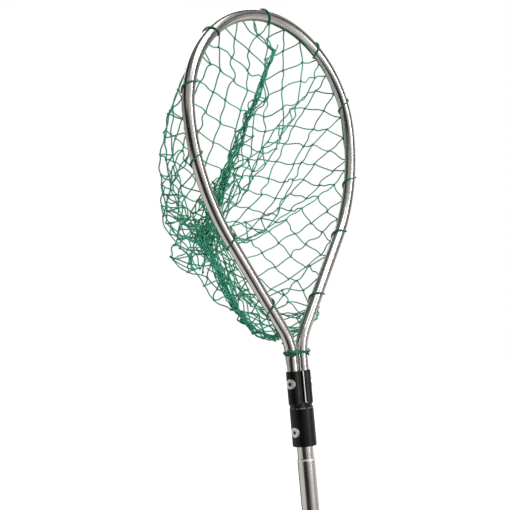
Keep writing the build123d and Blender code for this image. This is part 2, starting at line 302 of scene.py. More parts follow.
def foamFinish():
    # closed-cell foam: small round cells with thin walls, and a grey bloom where hands rub
    v = foamValues
    finish = Finish("gripFoam", Specular_IOR_Level=0.3, Sheen_Weight=0.12, Sheen_Roughness=0.5)
    cells = finish.add("ShaderNodeTexVoronoi", {"feature": "DISTANCE_TO_EDGE"},
        {"Vector": finish.place(), "Scale": v["cell"]})
    walls = (cells * 5.0).clip()
    bloom = finish.noise(finish.place((1, 1, 0.5)), 70.0, 5.0, 0.65)
    worn = (bloom - 0.3).clip() * 0.9 + (1 - walls) * 0.12
    finish.set(Base_Color=finish.mix(worn, v["black"], v["grey"]), Roughness=v["rough"] + bloom * 0.18)
    finish.bump(walls * 0.8 + bloom * 0.4, 0.00022, 0.8)
    return finish.material


rubberValues = {"black": (0.012, 0.012, 0.012), "dusty": (0.10, 0.10, 0.10), "rough": 0.55}


def rubberFinish():
    # soft black rubber with a dusty bloom
    v = rubberValues
    finish = Finish("capRubber", Specular_IOR_Level=0.4)
    dust = finish.noise(finish.place(), 120.0, 6.0, 0.7)
    grain = finish.noise(finish.place(), 2400.0, 2.0)
    finish.set(Base_Color=finish.mix((dust - 0.35).clip(), v["black"], v["dusty"]))
    finish.set(Roughness=v["rough"] + grain * 0.2)
    finish.bump(grain * 0.7 + dust * 0.3, 0.0001, 0.6)
    return finish.material


# strands is how many wind round each twine, and lay how many times they do in one diameter along it
twineValues = {"deep": (0.012, 0.19, 0.11), "light": (0.085, 0.66, 0.43), "rough": 0.48,
    "strands": 3, "lay": 0.9}
headCordValues = {"deep": (0.005, 0.085, 0.05), "light": (0.025, 0.29, 0.175), "rough": 0.48,
    "strands": 3, "lay": 0.6}


def twineFinish(name, v):
    # laid twine: strands wind round it, with painted shade in the grooves between them. U goes once
    # round the twine and V counts its diameters along it.
    finish = Finish(name, Specular_IOR_Level=0.45, Sheen_Weight=0.15, Sheen_Roughness=0.4)
    across, along = finish.axes(finish.place(uv=True))[:2]
    strand = ((across * v["strands"] + along * v["lay"]) * (2 * pi)).wave() * 0.5 + 0.5
    fibre = finish.noise(finish.place((14, 3, 1), uv=True), 3.0, 3.0)
    shade = finish.noise(finish.place(), 45.0, 4.0, 0.6)
    # the strand term darkens the grooves between strands: painted shade
    tone = (strand ** 0.7 * 0.55 + fibre * 0.35 + (shade - 0.5) * 1.1).clip()
    finish.set(Base_Color=finish.mix(tone, v["deep"], v["light"]))
    finish.set(Roughness=v["rough"] + fibre * 0.2 - strand * 0.06)
    finish.bump(strand * 0.8 + fibre * 0.3, 0.00022, 0.9)
    return finish.material


twine = twineFinish("netTwine", twineValues)
cordTwist = twineFinish("headCord", headCordValues)
cadFinishes = {
    "tube_aluminium": aluminiumFinish("drawnAluminium"),
    "yoke_plastic": yokeFinish(),
    "rivet_aluminium": rivetFinish(),
    "mandrel_steel": steelFinish("mandrelSteel", stemValues),
    "lock_nylon": nylonFinish(),
    "lock_steel": steelFinish("lockSteel", lockSteelValues),
    "grip_foam": foamFinish(),
    "cap_rubber": rubberFinish(),
    "head_cord": cordTwist,
    "net_twine": twine,
}
print("finishes made:", len(cadFinishes))

# Surfaces: every new piece is a grid of points, tubes above all, put into a mesh as whole arrays.
backwards = np.array([0.0, 1.0, 0.0])  # away from the hoop's mouth


def unit(vectors):
    return vectors / np.linalg.norm(vectors, axis=-1, keepdims=True)


def circle(angle, first, second):
    # round a circle of radius 1: cos a * first + sin a * second
    return np.cos(angle)[..., None] * first + np.sin(angle)[..., None] * second


def makePiece(name, points, corners, uvs, finish):
    # points is (n, 3), corners a list of (faces, sides) arrays, and uvs one pair for each corner
    mesh = bpy.data.meshes.new(name)
    loops = np.concatenate([group.ravel() for group in corners]).astype(np.int32)
    sides = np.concatenate([np.full(len(group), group.shape[1]) for group in corners])
    starts = np.concatenate([[0], np.cumsum(sides)[:-1]]).astype(np.int32)
    mesh.vertices.add(len(points))
    mesh.vertices.foreach_set("co", np.ascontiguousarray(points, np.float32).ravel())
    mesh.loops.add(len(loops))
    mesh.loops.foreach_set("vertex_index", loops)
    mesh.polygons.add(len(starts))
    mesh.polygons.foreach_set("loop_start", starts)
    mesh.polygons.foreach_set("use_smooth", np.ones(len(starts), bool))
    layer = mesh.uv_layers.new(name="UVMap")
    layer.uv.foreach_set("vector", np.concatenate(uvs).astype(np.float32).ravel())
    mesh.update(calc_edges=True)
    mesh.validate()
    mesh.materials.append(finish)
    piece = bpy.data.objects.new(name, mesh)
    bpy.context.scene.collection.objects.link(piece)
    return piece


def gridFaces(rows, sides, closed):
    # the faces of a tube's grid, so that they face outwards, with their lower rows and their U
    row, side = np.meshgrid(np.arange(rows if closed else rows - 1), np.arange(sides), indexing="ij")
    nextRow, nextSide = (row + 1) % rows, (side + 1) % sides
    quads = np.stack([row * sides + side, row * sides + nextSide, nextRow * sides + nextSide,
        nextRow * sides + side], -1)
    u = np.stack([side, side + 1, side + 1, side], -1) / sides
    return quads.reshape(-1, 4), row.ravel(), u.reshape(-1, 4)


def tubes(paths, normals, radius, sides, closed=False):
    # A circle carried along each path: centre + radius * (cos a * normal + sin a * binormal).
    # paths and normals are (count, rows, 3); radius is one number or (count, rows).
    tangents = np.roll(paths, -1, 1) - np.roll(paths, 1, 1) if closed else np.gradient(paths, axis=1)
    tangents /= np.linalg.norm(tangents, axis=-1, keepdims=True) + 1e-12
    normals = np.broadcast_to(normals, paths.shape)
    normals = normals - tangents * (normals * tangents).sum(-1, keepdims=True)
    normals = normals / (np.linalg.norm(normals, axis=-1, keepdims=True) + 1e-12)
    binormals = np.cross(tangents, normals)
    count, rows = paths.shape[:2]
    angle = np.arange(sides) * 2 * pi / sides
    reach = np.broadcast_to(np.asarray(radius, float), (count, rows))[..., None, None]
    ring = circle(angle, normals[:, :, None], binormals[:, :, None])
    points = (paths[:, :, None] + reach * ring).reshape(-1, 3)
    quads, row, u = gridFaces(rows, sides, closed)
    first = (np.arange(count) * rows * sides)[:, None, None]
    corners = [(quads + first).reshape(-1, 4)]
    # V counts diameters along the path
    steps = np.linalg.norm(np.diff(paths, axis=1, append=paths[:, :1]), axis=-1)
    along = np.concatenate([np.zeros((count, 1)), np.cumsum(steps, 1)], 1) / (2 * reach[:, :1, 0, 0])
    lower, upper = along[:, row], along[:, row + 1]
    v = np.stack([lower, lower, upper, upper], -1)
    uvs = [np.stack([np.broadcast_to(u, v.shape), v], -1).reshape(-1, 2)]
    if not closed:
        ends = np.stack([np.arange(sides)[::-1], (rows - 1) * sides + np.arange(sides)])
        corners.append((ends + first).reshape(-1, sides))
        uvs.append(np.zeros((count * 2 * sides, 2)))
    return points, corners, uvs


def join(*parts):
    # several sets of tubes as one
    points, corners, uvs, first = [], [], [], 0
    for these, groups, maps in parts:
        points.append(these)
        corners += [group + first for group in groups]
        uvs += maps
        first += len(these)
    return np.concatenate(points), corners, uvs


def acrossChord(paths):
    # for short tubes: a direction square to the line from end to end
    chord = paths[:, -1] - paths[:, 0]
    axis = np.eye(3)[np.abs(chord).argmin(1)]
    return np.cross(chord, axis)[:, None]


def smoothPath(points, count):
    # a Catmull-Rom curve through the points, in count steps
    points = np.asarray(points, float)
    padded = np.concatenate([[2 * points[0] - points[1]], points, [2 * points[-1] - points[-2]]])
    t = np.linspace(0, len(points) - 1 - 1e-9, count)
    start = t.astype(int)
    t = (t - start)[:, None]
    a, b, c, d = (padded[start + k] for k in range(4))
    return 0.5 * (2 * b + (c - a) * t + (2 * a - 5 * b + 4 * c - d) * t**2 + (3 * b - a - 3 * c + d) * t**3)


def resample(points, count):
    # the same line at equal steps
    run = np.concatenate([[0], np.cumsum(np.linalg.norm(np.diff(points, axis=0), axis=1))])
    return np.stack([np.interp(np.linspace(0, run[-1], count), run, points[:, k]) for k in range(3)], 1)


# Hoop: the outline is a leg, an outward bend, a straight side, an inward bend and a half circle.
hoopValues = {"legSpacing": 0.0163, "legLength": 0.015, "flareRadius": 0.062, "flareAngle": 34.0,
    "sideLength": 0.130, "sideRadius": 0.252, "wall": 0.0012, "seatDepth": 0.038,
    # its grid, how far out of round the tube is, and its length on the UV map
    "rows": 700, "sides": 40, "uneven": 0.006, "mapLength": 45,
    # how far above the yoke the line that cord is laced along starts, and its steps
    "lacedFrom": 0.0075, "lacedSteps": 3000}
hoopLow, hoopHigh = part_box("hoop_tube")
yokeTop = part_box("yoke")[1].z
tubeRadius = (hoopHigh.y - hoopLow.y) / 2
topRadius = hoopHigh.x - tubeRadius


def hoopHalf(start):
    # the right half, from start above the yoke's top to the apex, as x and z at fine steps
    v = hoopValues
    turn = radians(v["flareAngle"])
    x = v["legSpacing"] / 2
    leg = np.stack([np.full(20, x), np.linspace(start, v["legLength"], 20)], 1)
    a = np.linspace(0, turn, 90)
    flare = np.stack([v["flareRadius"] * (1 - np.cos(a)), v["flareRadius"] * np.sin(a)], 1) + leg[-1]
    side = np.linspace(0, v["sideLength"], 60)[:, None] * [sin(turn), cos(turn)] + flare[-1]
    a = np.linspace(turn, 0, 160)
    shoulder = np.stack([np.cos(a) - cos(turn), sin(turn) - np.sin(a)], 1) * v["sideRadius"] + side[-1]
    a = np.linspace(0, pi / 2, 200)
    top = np.stack([np.cos(a) * topRadius, shoulder[-1, 1] + np.sin(a) * topRadius], 1)
    return np.concatenate([leg, flare[1:], side[1:], shoulder[1:], top[1:]])


def hoopLine(start, count):
    # the whole outline from the left leg over the top to the right leg, at y = 0
    half = hoopHalf(start)
    flat = np.concatenate([half * [-1, 1], half[::-1][1:]])
    return resample(np.stack([flat[:, 0], 0 * flat[:, 0], flat[:, 1] + yokeTop], 1), count)


def outwards(line):
    # at each point the direction away from the hoop's middle, in its plane
    return np.cross(unit(np.gradient(line, axis=0)), backwards)


# cord is laced along the outline from just above the yoke on the left to the same place on the right
lacedLine = hoopLine(hoopValues["lacedFrom"], hoopValues["lacedSteps"])
lacedOut = outwards(lacedLine)
lacedRun = np.concatenate([[0], np.cumsum(np.linalg.norm(np.diff(lacedLine, axis=0), axis=1))])
lacedLength = lacedRun[-1]


def atRun(run, table):
    # a table's value at a run along the laced line
    return np.stack([np.interp(run, lacedRun, table[:, k]) for k in range(3)], -1)


def roundTube(run, angle, reach):
    # points round the hoop's tube at a run along it: centre + reach * (cos a * back + sin a * out)
    radial = circle(angle, backwards, atRun(run, lacedOut))
    return atRun(run, lacedLine) + np.asarray(reach)[..., None] * radial, radial


def makeHoop():
    # a tube with a bore: the outer wall is followed up the path and the inner wall back down it
    v = hoopValues
    line = hoopLine(-v["seatDepth"], v["rows"])
    angle = np.arange(v["sides"]) * 2 * pi / v["sides"]
    ring = circle(angle, outwards(line)[:, None], backwards)
    # hand-bent: the tube is a hair out of round, and never perfectly even, except in the yoke's sockets
    run = np.linspace(0, 1, len(line))[:, None, None]
    uneven = v["uneven"] * np.sin(run * 61 + 2 * angle[:, None]) * np.sin(run * 17)
    clear = np.clip(np.minimum(run, 1 - run) * 20 - 0.9, 0, 1)
    wall = tubeRadius * (1 + uneven * clear)
    outer = line[:, None] + wall * ring
    inner = line[:, None] + (wall - v["wall"]) * ring
    grid = np.concatenate([outer, inner[::-1]])
    rows, sides = grid.shape[:2]
    quads, row, across = gridFaces(rows, sides, True)
    rise = np.linspace(0, 1, rows // 2)
    rise = np.concatenate([rise, rise[::-1], [0]]) * v["mapLength"]
    along = np.stack([rise[row], rise[row], rise[row + 1], rise[row + 1]], -1)
    uvs = np.stack([across, along], -1)[:, ::-1].reshape(-1, 2)
    piece = makePiece("hoopTube", grid.reshape(-1, 3), [quads[:, ::-1]], [uvs],
        aluminiumFinish("bentAluminium", uv=True))
    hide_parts("hoop_tube")
    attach(piece, "head")


makeHoop()
print("hoop made")

# Head line: a cord laced along behind the tube, that goes round over its front now and then.
headLineValues = {"radius": 0.0010, "gap": 0.00005, "turns": 11, "turnLength": 0.030, "unevenTurns": 0.012,
    # how it drifts round the tube between turns, as (swing, rate, phase), and its grid
    "drift": ((0.20, 41, 0), (0.14, 97, 1)), "rows": 2600, "sides": 10, "seed": 3}
headOffset = tubeRadius + headLineValues["radius"] + headLineValues["gap"]
turnPlaces = (np.arange(headLineValues["turns"]) + 1) / (headLineValues["turns"] + 1) * lacedLength
turnShifts = np.random.default_rng(headLineValues["seed"]).uniform(-1, 1, len(turnPlaces))
turnPlaces = turnPlaces + turnShifts * headLineValues["unevenTurns"]


def headAngle(run):
    # 0 is straight behind the tube. It drifts a little, and grows by a smooth whole turn at each place.
    t = np.clip((run[..., None] - turnPlaces) / headLineValues["turnLength"] + 0.5, 0, 1)
    drift = sum(swing * np.sin(run * rate + phase) for swing, rate, phase in headLineValues["drift"])
    return (t * t * (3 - 2 * t)).sum(-1) * 2 * pi + drift


def makeHeadLine():
    v = headLineValues
    run = np.linspace(0, lacedLength, v["rows"])
    path, radial = roundTube(run, headAngle(run), headOffset)
    piece = makePiece("headLine", *tubes(path[None], radial[None], v["radius"], v["sides"]), cordTwist)
    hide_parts("head_line", "head_line_turns")
    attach(piece, "head")


makeHeadLine()
print("head line made, metres of cord:", round(float(lacedLength), 3))

# Lashings: each leg is bound with a few turns over the head line's end, finished with a hitch.
lashingValues = {
    # the turns: how many on each leg, their middle and start along the hoop, their spacing and slight
    # wander, the angle they start at, and how high and how wide they step over the head line
    "turns": (2.4, 1.6), "rise": 0.0195, "below": 0.0075, "pitch": 0.0021, "wander": 0.0004, "from": 1.2,
    "over": 0.0019, "overWidth": 0.42,
    # the hitch: its start and extra length along the hoop, its angle and swing, its lift and thickness
    "hitchBelow": 0.0095, "hitchPast": 0.005, "hitchAngle": 2.5, "hitchSwing": 0.5, "hitchLift": 0.0021,
    "hitchThick": 0.9,
}


def makeLashings():
    v = lashingValues
    radius, sides = headLineValues["radius"], headLineValues["sides"]
    sets = []
    for leg, turns in enumerate(v["turns"]):
        turn = np.linspace(0, turns, 420)
        angle = turn * 2 * pi + v["from"]
        run = v["rise"] - v["below"] + turn * v["pitch"] + v["wander"] * np.sin(angle * 2.3)
        run = lacedLength - run if leg else run
        # the turns step up over the head line, which lies behind the tube
        away = np.angle(np.exp(1j * (angle - headAngle(run))))
        lift = v["over"] * np.exp(-((away / v["overWidth"]) ** 2))
        path, radial = roundTube(run, angle, headOffset + lift)
        sets.append(tubes(path[None], radial[None], radius, sides))
        # the hitch lies across the turns
        turn = np.linspace(0, 1, 60)
        run = v["rise"] - v["hitchBelow"] + turn * (turns * v["pitch"] + v["hitchPast"])
        run = lacedLength - run if leg else run
        angle = v["hitchAngle"] + v["hitchSwing"] * np.sin(turn * 5)
        path, radial = roundTube(run, angle, headOffset + v["hitchLift"] * np.sin(pi * turn) ** 0.4)
        sets.append(tubes(path[None], radial[None], radius * v["hitchThick"], sides))
    piece = makePiece("legLashings", *join(*sets), cordTwist)
    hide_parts("leg_lashings")
    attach(piece, "head")


makeLashings()
print("lashings made")

# Net: a tube of diamond meshes hung from the head line and drawn together at its lower end. Its
# knots and the middles of its bars fall under gravity, held by the bars' lengths. These values are
# in millimetres above the yoke's top, and the hanging is worked out in them.
netValues = {
    "columns": 28, "rows": 15, "bar": 26.0, "start": 27.0, "legColumns": 3, "legReach": 34.0,
    # the seam: its columns, the rows that hang before the first two join it, how many rows lower each
    # next two do, and how far along the hoop from its top its middle hangs
    "seamColumns": 6, "seamFree": 2, "seamJoin": 2, "seamShift": 10.0,
    # how many of the rows hang free, from the seam out to the legs: the rest are bunched at the purse
    "rowsLeft": ((0, 0.25, 0.5, 0.75, 1), (0.92, 0.90, 0.77, 0.64, 0.62)),
    "rowsRight": ((0, 0.3, 0.6, 1), (0.93, 0.84, 0.76, 0.72)),
    # the columns that start at the legs are laced along the bag's lower edge, as far as the purse
    "edgeLeft": ((-8, 22, 44), (-13, 50, 44), (-16, 90, 89)), "edgeSpread": 1.7,
    "edgeRight": ((60, 15, 76), (56, 22, 56), (34, 32, 44), (0, 46, 42), (-16, 90, 89)),
    # the seam's top knot, its sag and how wide its columns lie round it, and the purse's crumple
    "knot": (22.0, 14.0, 396.0), "seamSag": (0.0, 4.0, -4.0), "seamRadius": (2.0, 10.0, 9.0),
    "purse": (-27.0, 124.0, 179.0), "purseSize": (24.0, 16.0, 40.0), "crumple": 0.62, "crumpleEnd": 1.2,
    # the first guess: how far it swells outwards from the bag's middle height, and how far it bellies
    "swell": 40.0, "middle": 240.0, "belly": (0.0, 30.0, -15.0),
    # the pull, its lean in degrees, and how hard the netting springs outwards on the left and the right
    "gravity": 0.35, "barGravity": 0.15, "tilt": 46.0, "lean": -20.0, "spread": (0.20, 0.04),
    # the twine's stiffness: it holds the meshes open, less so near the purse, and its bars straight
    "open": 0.4, "openTo": 1.15, "openFade": 0.25, "stiff": 0.6, "straight": 0.94, "bend": 0.2, "front": 9.5,
    # the steps, the passes in each and how often stiffness acts, the damping, and when it grows
    "steps": 200, "passes": 30, "stiffEvery": 3, "damp": (0.97, 0.88), "calm": 0.6,
    "seed": 7, "uneven": 0.03, "rimUneven": 2.0,
    # in metres, the twine's radius and its knots' size; in millimetres, each bar's own wave
    "twine": 0.00083, "sides": 6, "knotSize": 0.00044, "knotSides": 4, "wave": 0.95, "waveSeed": 11,
}


def pull(first, second, firstFree, secondFree, length, share=1.0, slack=True):
    # move two ends along their line until they are length apart: slack bars only stop stretching,
    # and the others only stop closing up
    line = second - first
    span = np.sqrt((line * line).sum(-1, keepdims=True)) + 1e-9
    misfit = np.maximum(span - length, 0) if slack else np.minimum(span - length, 0)
    step = line * (misfit / span * share / (firstFree + secondFree + 1e-9))
    return step * firstFree, -step * secondFree


def placeColumns(draw):
    # where each column hangs from the head line, its order away from the seam, and how many of its
    # rows hang free: the columns are close together at the legs and roughly even between them
    v = netValues
    total = lacedLength * 1000
    start, end, middle = v["start"], total - v["start"], total / 2 + v["seamShift"]
    legs = start + np.linspace(0, v["legReach"], v["legColumns"], endpoint=False)
    between = np.linspace(start + v["legReach"], end - v["legReach"], v["columns"] + v["seamColumns"])
    between = between + draw.normal(0, v["rimUneven"], len(between))
    places = np.sort(np.concatenate([legs, between, total - legs[::-1]]))
    order = np.abs(places - middle).argsort().argsort()
    # a column that would hang where the head line goes round the tube hangs beside that place
    nearest = turnPlaces[np.abs(places[:, None] / 1000 - turnPlaces).argmin(1)] * 1000
    away, clear = places - nearest, headLineValues["turnLength"] * 500 + 1
    places = np.where(np.abs(away) < clear, nearest + np.where(away < 0, -clear, clear), places)
    left = places < middle
    share = np.abs(places - middle) / np.where(left, middle - start, end - middle)
    hung = np.where(left, np.interp(share, *v["rowsLeft"]), np.interp(share, *v["rowsRight"]))
    return places, order, np.round(v["rows"] * hung)


def layNet(draw, top, order, used):
    # the first guess at the knots, which of them are free to fall, and the push that spreads them
    v = netValues
    rows, count = v["rows"], len(top)
    row, column = np.arange(rows + 1)[:, None], np.arange(count)
    knot, purse = np.array(v["knot"]), np.array(v["purse"])
    # straight from the head line to the purse, swollen outwards
    along = (row / rows)[..., None]
    lane, ring = (column + 0.5 * (row % 2)) % count, np.concatenate([top, top[:1]])
    topAt = np.stack([np.interp(lane, np.arange(count + 1), ring[:, k]) for k in range(3)], -1)
    out = unit((topAt - [0, 0, v["middle"]]) * [1, 0, 1])
    knots = topAt * (1 - along) + purse * along + (out * v["swell"] + v["belly"]) * np.sin(pi * along)
    knots[0] = top
    knots[1:] += draw.normal(0, 1.0, knots[1:].shape)
    # the seam's columns are laced together along one line from the top knot to the purse: the two in
    # the middle join it at the knot, and the others a few rows further down
    seam = order < v["seamColumns"]
    down = np.clip((along * rows - v["seamFree"]) / (rows - v["seamFree"]), 0, 1)
    seamLine = knot * (1 - down) + purse * down + np.array(v["seamSag"]) * 4 * down * (1 - down)
    laced = seam & (row >= v["seamFree"] + order // 2 * v["seamJoin"])
    angle = draw.uniform(0, 2 * pi, laced.shape)
    reach = np.interp(down[..., 0], (0, 0.55, 1), v["seamRadius"])
    reach = reach * np.sqrt(draw.uniform(0.1, 1, angle.shape))
    gathered = seamLine + np.stack([np.cos(angle) * reach, np.sin(angle) * reach * 0.7,
        draw.normal(0, 3.0, angle.shape)], -1)
    knots = np.where(laced[..., None], gathered, knots)
    # the legs' columns follow the lower edge
    edge = np.minimum(column, column[::-1]) < v["legColumns"]
    for place in np.flatnonzero(edge):
        guide = v["edgeLeft"] if place < v["legColumns"] else v["edgeRight"]
        laid = resample(smoothPath([top[place], *guide, purse], 300), rows + 1)[1:]
        knots[1:, place] = laid + draw.normal(0, v["edgeSpread"], laid.shape)
    # the rows that aren't hanging free are crumpled together at the purse
    bunched = (row >= used) & ~edge
    crumple = draw.normal(0, v["crumple"], knots.shape).clip(-v["crumpleEnd"], v["crumpleEnd"])
    knots = np.where(bunched[..., None], crumple * v["purseSize"] + purse, knots)
    free = np.ones((rows + 1, count, 1))
    free[0], free[:, edge], free[laced], free[bunched] = 0, 0, 0, 0
    push = out * np.where(topAt[..., :1] < -10, *v["spread"])
    return knots, free, push, seamLine[v["seamFree"]:, 0], np.where(edge | seam, rows, used)


def hangNet():
    v = netValues
    draw = np.random.default_rng(v["seed"])
    places, order, used = placeColumns(draw)
    rows, count = v["rows"], len(places)
    top = (roundTube(places / 1000, headAngle(places / 1000), headOffset)[0] - [0, 0, yokeTop]) * 1000
    knots, free, push, seamLine, shown = layNet(draw, top, order, used)
    # each knot is tied to the one below it and to that one's neighbour, on alternate sides
    row, column = np.arange(rows)[:, None], np.arange(count)
    across = (column + np.where(row % 2 == 0, -1, 1)) % count
    below, beyond = (row, column[None, :]), (row, across)
    lengthA, lengthB = ((v["bar"] * (1 + draw.normal(0, v["uneven"], (rows, count))))[..., None]
        for each in (below, beyond))
    bowA, bowB = ((knots[:-1] + knots[1:][far]) / 2 + draw.normal(0, 1.0, (rows, count, 3))
        for far in (below, beyond))
    fade = np.clip((used - np.arange(1, rows)[:, None]) / (rows * v["openFade"]), 0, 1)[..., None]
    speedK, speedA, speedB = np.zeros_like(knots), np.zeros_like(bowA), np.zeros_like(bowB)
    drop = np.array([sin(radians(v["lean"])), sin(radians(v["tilt"])), -cos(radians(v["tilt"]))])
    fall = drop * v["gravity"] + push
    fallBar = (fall[:-1] + fall[1:]) * v["barGravity"]
    beside = [(column[odd::2], (column[odd::2] + 1) % count) for odd in (0, 1)]
    for step in range(v["steps"]):
        damp = v["damp"][0] if step < v["steps"] * v["calm"] else v["damp"][1]
        wasK, wasA, wasB = knots.copy(), bowA.copy(), bowB.copy()
        knots = knots + (speedK * damp + fall) * free
        bowA, bowB = bowA + speedA * damp + fallBar, bowB + speedB * damp + fallBar
        for turn in range(v["passes"]):
            stiffens = turn % v["stiffEvery"] == 0
            for bow, length, far in ((bowA, lengthA, below), (bowB, lengthB, beyond)):
                upper, lower = pull(knots[:-1], bow, free[:-1], 1.0, length / 2)
                knots[:-1] += upper
                bow += lower
                upper, lower = pull(bow, knots[1:][far], 1.0, free[1:][far], length / 2)
                bow += upper
                knots[1:][far] += lower
                if stiffens:
                    bow += ((knots[:-1] + knots[1:][far]) / 2 - bow) * v["bend"]
                    upper, lower = pull(knots[:-1], knots[1:][far], free[:-1], free[1:][far],
                        length * v["straight"], v["stiff"], False)
                    knots[:-1] += upper
                    knots[1:][far] += lower
            if stiffens:
                inner, innerFree = knots[1:-1], free[1:-1]
                for left, right in beside:
                    gap = v["bar"] * v["openTo"] * np.minimum(fade[:, left], fade[:, right])
                    upper, lower = pull(inner[:, left], inner[:, right], innerFree[:, left],
                        innerFree[:, right], gap, v["open"], False)
                    inner[:, left] += upper
                    inner[:, right] += lower
            knots[1:, :, 1] = np.maximum(knots[1:, :, 1], v["front"])
        speedK, speedA, speedB = knots - wasK, bowA - wasA, bowB - wasB
    return knots, bowA, bowB, across, seamLine, places, shown


def toMetres(points):
    return points / 1000 + [0, 0, yokeTop]


knots, bowA, bowB, across, seamLine, places, used = hangNet()
print("net hung:", knots.shape[1], "columns of", knots.shape[0] - 1, "rows")


def bars(first, bow, last, draw, steps=8):
    # a bar bends smoothly through its middle: the quadratic through its two ends and its bow, with a
    # slight wave of its own
    t = np.linspace(0, 1, steps)[:, None]
    first, bow, last = (points.reshape(-1, 1, 3) for points in (first, bow, last))
    steer = 2 * bow - (first + last) / 2
    wave = draw.normal(0, netValues["wave"], first.shape) * np.sin(2 * pi * t)
    wave = wave + draw.normal(0, netValues["wave"], first.shape) * np.sin(pi * t)
    return toMetres((1 - t) ** 2 * first + 2 * t * (1 - t) * steer + t**2 * last + wave)


def netKnots(places, draw):
    # a tight knot: a trefoil, x = sin t + 2 sin 2t, y = cos t - 2 cos 2t, z = -1.3 sin 3t, turned anyhow
    t = np.arange(12) * 2 * pi / 12
    shape = np.stack([np.sin(t) + 2 * np.sin(2 * t), np.cos(t) - 2 * np.cos(2 * t), -1.3 * np.sin(3 * t)], 1)
    turned = np.linalg.qr(draw.normal(size=(len(places), 3, 3)))[0]
    paths = toMetres(places)[:, None] + netValues["knotSize"] * (shape @ turned)
    facing = 2 * paths - np.roll(paths, 1, 1) - np.roll(paths, -1, 1)
    return tubes(paths, facing, netValues["twine"], netValues["knotSides"], closed=True)


def headLoops(run):
    # loops of twine round the head line, where the first row hangs from it
    ring = headLineValues["radius"] + netValues["twine"]
    turn = np.arange(16) * 2 * pi / 16
    centre, radial = roundTube(run, headAngle(run), headOffset)
    sideways = np.cross(radial, unit(atRun(run + 0.0005, lacedLine) - atRun(run - 0.0005, lacedLine)))
    away = ring * circle(turn, radial[:, None], sideways[:, None])
    return tubes(centre[:, None] + away, away, netValues["twine"], netValues["sides"], closed=True)


def makeNet():
    v = netValues
    draw = np.random.default_rng(v["waveSeed"])
    row = np.arange(v["rows"])[:, None]
    left = np.arange(len(places)) < len(places) // 2
    for name, side, node in (("netLeft", left, "bag_left_panel"), ("netRight", ~left, "bag_right_panel")):
        # the bag is narrowed towards the legs, so its columns end where they reach the bunch
        shown = (row < used[side]).ravel()
        above = knots[:-1][:, side]
        paths = np.concatenate([bars(above, bowA[:, side], knots[1:][:, side], draw)[shown],
            bars(above, bowB[:, side], knots[1:][row, across][:, side], draw)[shown]])
        twines = tubes(paths, acrossChord(paths), v["twine"], v["sides"])
        tied = netKnots(knots[1:][:, side].reshape(-1, 3)[shown], draw)
        piece = makePiece(name, *join(twines, tied, headLoops(places[side] / 1000)), twine)
        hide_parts(node)
        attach(piece, "head")


makeNet()
print("net made")

# Seam: two cords wind round the gathered columns, from a knot at the top down to the purse.
seamValues = {
    "radius": 0.0007, "sides": 8, "windings": 5, "spread": (0.0018, 0.0080, 0.0070), "wander": 0.35,
    "seed": 5,
    # each cord's first angle and its way round, against the windings
    "cords": ((0.0, 1), (2.4, -0.8)),
    # the knot: its turns, their radius, their length along the seam and their thickness
    "knotTurns": 3.5, "knotRadius": 0.0022, "knotLength": 0.0066, "knotThick": 1.15,
    # its two short ends, in millimetres from its middle
    "knotEnds": (((3, -2, 3), (4, -5, 9)), ((-2, -3, -4), (-6, -4, -8))),
}


def makeSeam():
    v = seamValues
    draw = np.random.default_rng(v["seed"])
    line = toMetres(smoothPath(seamLine, 1500))
    run = np.linspace(0, 1, len(line))
    tangent = unit(np.gradient(line, axis=0))
    first = unit(np.cross(tangent, backwards))
    second = np.cross(tangent, first)
    strands = []
    for phase, way in v["cords"]:
        wander = smoothPath(draw.normal(0, v["wander"], (24, 1)) * [1, 1, 1], len(line))[:, 0]
        radial = circle(phase + way * run * v["windings"] * 2 * pi + wander, first, second)
        reach = np.interp(run, (0, 0.55, 1), v["spread"]) * (0.8 + 0.3 * np.sin(run * 43 + phase))
        strands.append(tubes((line + reach[:, None] * radial)[None], radial[None], v["radius"], v["sides"]))
    piece = makePiece("seamCord", *join(*strands), twine)
    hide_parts("seam_cord")
    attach(piece, "head")
    # the knot at the top: turns of cord side by side, with two short ends
    turn = np.linspace(0, 1, 160)
    radial = circle(turn * v["knotTurns"] * 2 * pi, first[0], second[0])
    wound = line[0] + radial * v["knotRadius"] + tangent[0] * ((turn - 0.5) * v["knotLength"])[:, None]
    cords = [tubes(wound[None], radial[None], v["radius"] * v["knotThick"], v["sides"])]
    for near, far in v["knotEnds"]:
        end = smoothPath(np.array([[0, 0, 0], near, far]) * 0.001 + line[0], 24)
        cords.append(tubes(end[None], backwards[None, None], v["radius"], v["sides"]))
    piece = makePiece("seamKnot", *join(*cords), twine)
    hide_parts("seam_knot")
    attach(piece, "head")


makeSeam()
print("seam made")

# Purse: the lower ends of the columns are drawn together and bound.
purseValues = {"radius": 0.0010, "sides": 8, "turns": 3, "ring": 0.0075, "uneven": 0.08,
    # the line that the turns wind along, where on it they start and how far apart they are
    "axis": (0.25, 0.8, -0.5), "before": 0.008, "pitch": 0.0022}


def makePurse():
    v = purseValues
    middle = toMetres(np.array(netValues["purse"]))
    turn = np.linspace(0, v["turns"], 300)
    axis = unit(np.array(v["axis"]))
    first = unit(np.cross(axis, [1.0, 0.0, 0.0]))
    angle = turn * 2 * pi
    radial = circle(angle, first, np.cross(axis, first))
    ring = v["ring"] * (1 + v["uneven"] * np.sin(angle * 1.7))
    bound = middle + radial * ring[:, None] + axis * (turn * v["pitch"] - v["before"])[:, None]
    piece = makePiece("purseCord", *tubes(bound[None], radial[None], v["radius"], v["sides"]), twine)
    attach(piece, "head")


makePurse()
print("purse made")

